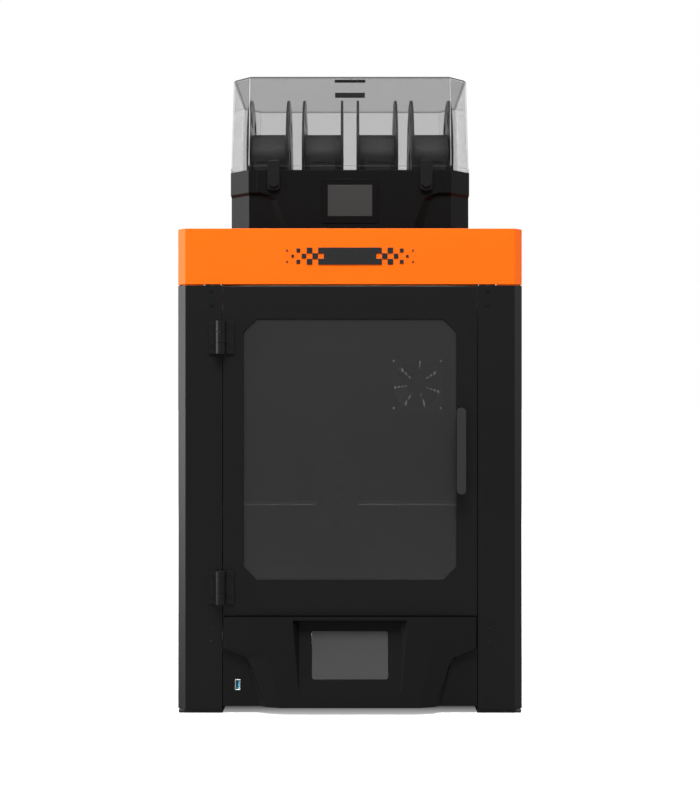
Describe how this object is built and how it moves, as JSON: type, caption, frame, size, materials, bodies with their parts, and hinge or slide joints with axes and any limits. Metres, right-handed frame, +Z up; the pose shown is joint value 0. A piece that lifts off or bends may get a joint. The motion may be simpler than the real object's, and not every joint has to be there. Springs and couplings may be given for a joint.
{
  "type": "filament 3d printer",
  "caption": "Enclosed filament printer with hinged smoked door, lifting gantry, fixed heated bed and a clear-lidded spool box on its roof.",
  "frame": {"origin": "centre of the bounding box at floor level", "axes": "+Z up, front door faces -Y, +X to the right seen from the front"},
  "size_m": [0.484, 0.525, 0.914],
  "materials": {
    "black_coat": "fine textured powder coat",
    "inner_sheet": "satin",
    "orange_cover": "fine satin texture",
    "badge_black": "satin",
    "panel_black": "fine textured",
    "screen_glass": "satin screen film",
    "port_steel": "bright",
    "foot_grey": "matt",
    "screw_black": "black oxide",
    "bed_aluminium": "cast plate, milled",
    "plate_coat": "rough coated spring steel",
    "rod_steel": "ground",
    "motor_black": "satin",
    "fan_black": "satin",
    "inlet_black": "gloss",
    "rocker_black": "gloss",
    "case_steel": "plated",
    "board_green": "solder mask",
    "hinge_black": "satin black",
    "pin_steel": "ground",
    "window_smoke": "smoked gloss",
    "handle_grey": "satin",
    "beam_black": "black anodised",
    "bracket_grey": "grey anodised",
    "rail_steel": "ground",
    "belt_black": "matt",
    "toolhead_black": "satin",
    "hotend_metal": "turned",
    "extruder_black": "satin",
    "box_black": "fine spark texture",
    "feeder_grey": "satin",
    "fitting_grey": "satin",
    "roller_rubber": "matt",
    "spool_grey": "satin gloss",
    "lid_clear": "clear smoked gloss",
    "latch_black": "satin"
  },
  "bodies": {
    "frame": {"base_tray": "inner_sheet", "front_post_left": "black_coat", "front_post_right": "black_coat", "side_panel_left": "black_coat", "side_panel_right": "black_coat", "rear_panel": "black_coat", "crown": "orange_cover", "top_plate": "black_coat", "badge_inlay": "badge_black", "lower_front_panel": "panel_black", "touch_screen": "screen_glass", "usb_port": "port_steel", "foot_caps": "foot_grey", "frame_screws": "screw_black", "chamber_deck": "inner_sheet", "heated_bed": "bed_aluminium", "build_plate": "plate_coat", "guide_rods": "rod_steel", "z_motors": "motor_black", "exhaust_fan_frame": "fan_black", "power_inlet": "inlet_black", "power_supply": "case_steel", "control_board": "board_green", "fixed_hinge_leaves": "hinge_black", "hinge_pins": "pin_steel", "box_base": "box_black", "box_screen": "screen_glass", "box_feeders": "feeder_grey", "tube_fittings": "fitting_grey", "spool_rollers": "roller_rubber"},
    "door": {"door_frame": "black_coat", "door_window": "window_smoke", "door_handle": "handle_grey", "door_hinge_leaves": "hinge_black"},
    "gantry": {"gantry_beams": "beam_black", "gantry_brackets": "bracket_grey", "y_rails": "rail_steel", "belt_motors": "motor_black", "drive_belts": "belt_black"},
    "bridge": {"x_beam": "beam_black", "x_rail": "rail_steel", "y_carriages": "bracket_grey"},
    "toolhead": {"toolhead_carriage": "bracket_grey", "toolhead_shell": "toolhead_black", "hotend": "hotend_metal", "extruder": "extruder_black"},
    "toolhead_wheel": {"toolhead_fan": "fan_black"},
    "left_screw": {"lead_screw_left": "rod_steel"},
    "right_screw": {"lead_screw_right": "rod_steel"},
    "exhaust_wheel": {"exhaust_rotor": "fan_black"},
    "rocker": {"power_rocker": "rocker_black"},
    "lid": {"box_lid": "lid_clear", "lid_grip": "badge_black", "lid_hinge_leaves": "hinge_black"},
    "left_latch": {"latch_left": "latch_black"},
    "right_latch": {"latch_right": "latch_black"},
    "spool_a": {"spool_1": "spool_grey"},
    "spool_b": {"spool_2": "spool_grey"},
    "spool_c": {"spool_3": "spool_grey"},
    "spool_d": {"spool_4": "spool_grey"}
  },
  "joints": [
    {"name": "door_hinge", "type": "hinge", "parent": "frame", "child": "door", "pos_m": [-0.1805, -0.24784, 0.35], "axis": [0, 0, -1], "range_deg": [0, 170]},
    {"name": "gantry_lift", "type": "slide", "parent": "frame", "child": "gantry", "axis": [0, 0, 1], "range_m": [-0.082, 0.215]},
    {"name": "bridge_travel", "type": "slide", "parent": "gantry", "child": "bridge", "axis": [0, 1, 0], "range_m": [-0.148, 0.142]},
    {"name": "toolhead_travel", "type": "slide", "parent": "bridge", "child": "toolhead", "axis": [1, 0, 0], "range_m": [-0.1255, 0.1645]},
    {"name": "toolhead_fan_spin", "type": "hinge", "parent": "toolhead", "child": "toolhead_wheel", "pos_m": [-0.0195, -0.02254, 0.2897], "axis": [0, 1, 0], "continuous": true},
    {"name": "left_screw_spin", "type": "hinge", "parent": "frame", "child": "left_screw", "pos_m": [-0.219, 0.01446, 0.4], "axis": [0, 0, 1], "range_deg": [-3700, 9680]},
    {"name": "right_screw_spin", "type": "hinge", "parent": "frame", "child": "right_screw", "pos_m": [0.219, 0.01446, 0.4], "axis": [0, 0, 1], "range_deg": [-3700, 9680]},
    {"name": "exhaust_fan_spin", "type": "hinge", "parent": "frame", "child": "exhaust_wheel", "pos_m": [0.118, 0.24246, 0.466], "axis": [0, 1, 0], "continuous": true},
    {"name": "power_rocker_tilt", "type": "hinge", "parent": "frame", "child": "rocker", "pos_m": [0.20425, 0.25847, 0.06188], "axis": [-1, 0, 0], "range_deg": [0, 14]},
    {"name": "lid_hinge", "type": "hinge", "parent": "frame", "child": "lid", "pos_m": [0, 0.10446, 0.778], "axis": [-1, 0, 0], "range_deg": [0, 100]},
    {"name": "left_latch_turn", "type": "hinge", "parent": "frame", "child": "left_latch", "pos_m": [-0.1117, -0.15354, 0.7573], "axis": [0, -1, 0], "range_deg": [0, 90]},
    {"name": "right_latch_turn", "type": "hinge", "parent": "frame", "child": "right_latch", "pos_m": [0.1117, -0.15354, 0.7573], "axis": [0, 1, 0], "range_deg": [0, 90]},
    {"name": "spool_1_spin", "type": "hinge", "parent": "frame", "child": "spool_a", "pos_m": [-0.123, -0.02554, 0.803], "axis": [1, 0, 0], "continuous": true},
    {"name": "spool_2_spin", "type": "hinge", "parent": "frame", "child": "spool_b", "pos_m": [-0.041, -0.02554, 0.803], "axis": [1, 0, 0], "continuous": true},
    {"name": "spool_3_spin", "type": "hinge", "parent": "frame", "child": "spool_c", "pos_m": [0.041, -0.02554, 0.803], "axis": [1, 0, 0], "continuous": true},
    {"name": "spool_4_spin", "type": "hinge", "parent": "frame", "child": "spool_d", "pos_m": [0.123, -0.02554, 0.803], "axis": [1, 0, 0], "continuous": true}
  ],
  "couplings": [
    {"joint": "left_screw_spin", "follows": "gantry_lift", "rad_per_m": 785.4},
    {"joint": "right_screw_spin", "follows": "gantry_lift", "rad_per_m": 785.4}
  ]
}
